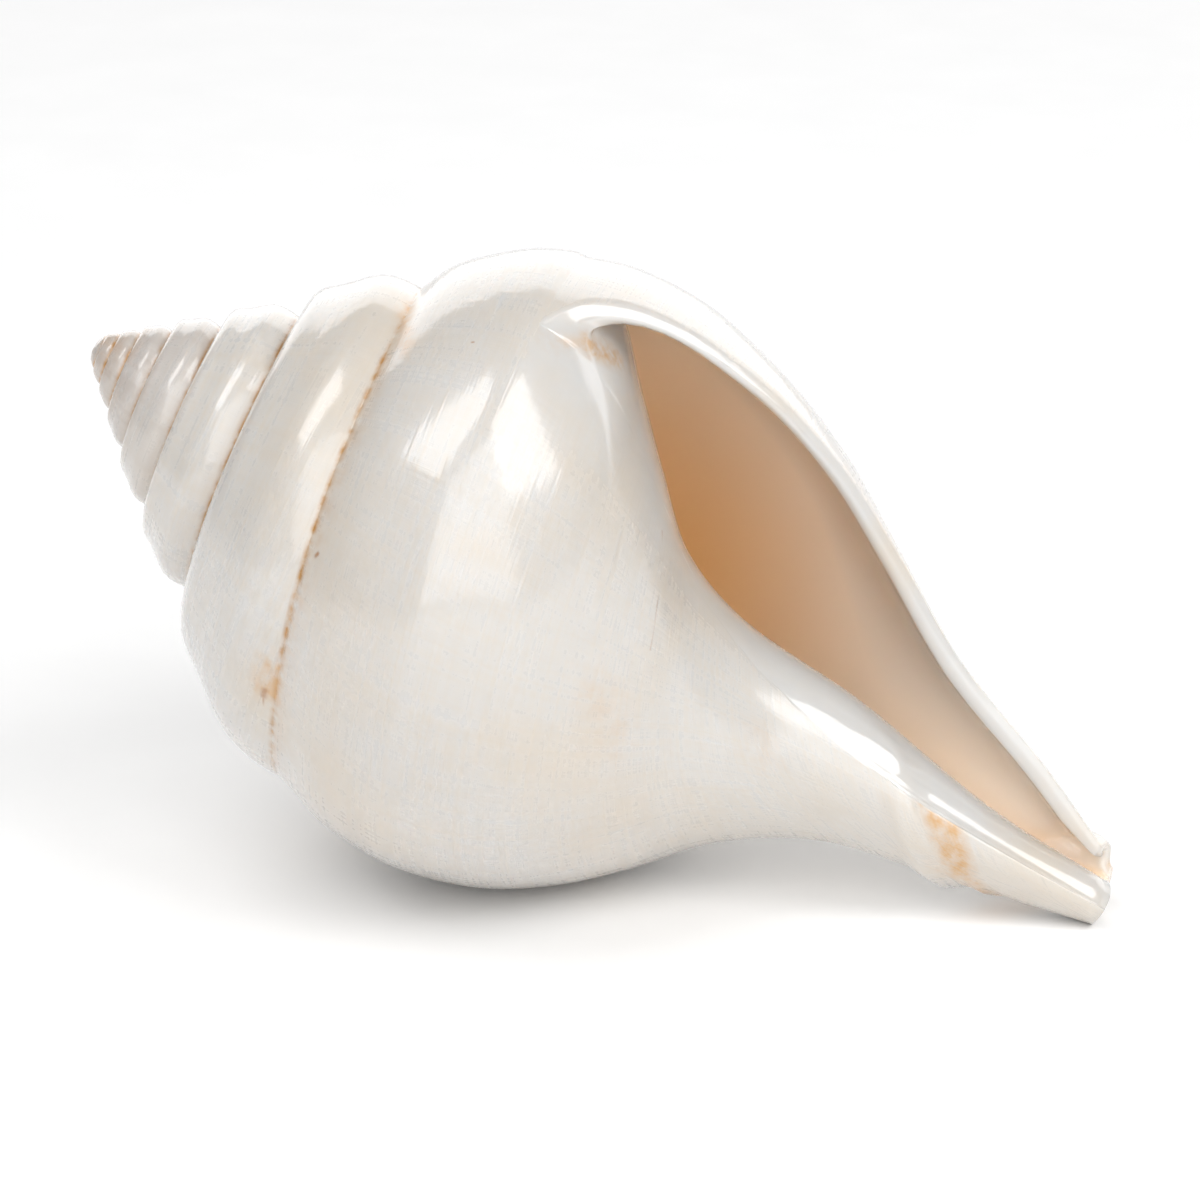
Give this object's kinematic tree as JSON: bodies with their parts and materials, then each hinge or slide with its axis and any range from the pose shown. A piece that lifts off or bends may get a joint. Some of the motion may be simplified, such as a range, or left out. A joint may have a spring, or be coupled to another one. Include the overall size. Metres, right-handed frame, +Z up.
{
  "type": "conch shell",
  "caption": "Right-handed sea shell at rest on its belly, with a turreted spire, a swollen body whorl, a flared aperture with a thick polished lip and a long open siphonal canal.",
  "frame": {"origin": "centre of the bounding box at the height of the surface that the shell rests on", "axes": "+X towards the tip of the siphonal canal, +Z up, and the aperture opens towards -Y"},
  "size_m": [0.1626, 0.0992, 0.0998],
  "materials": {
    "shell": "polished"
  },
  "bodies": {
    "root": {"shell": "shell"}
  },
  "joints": []
}
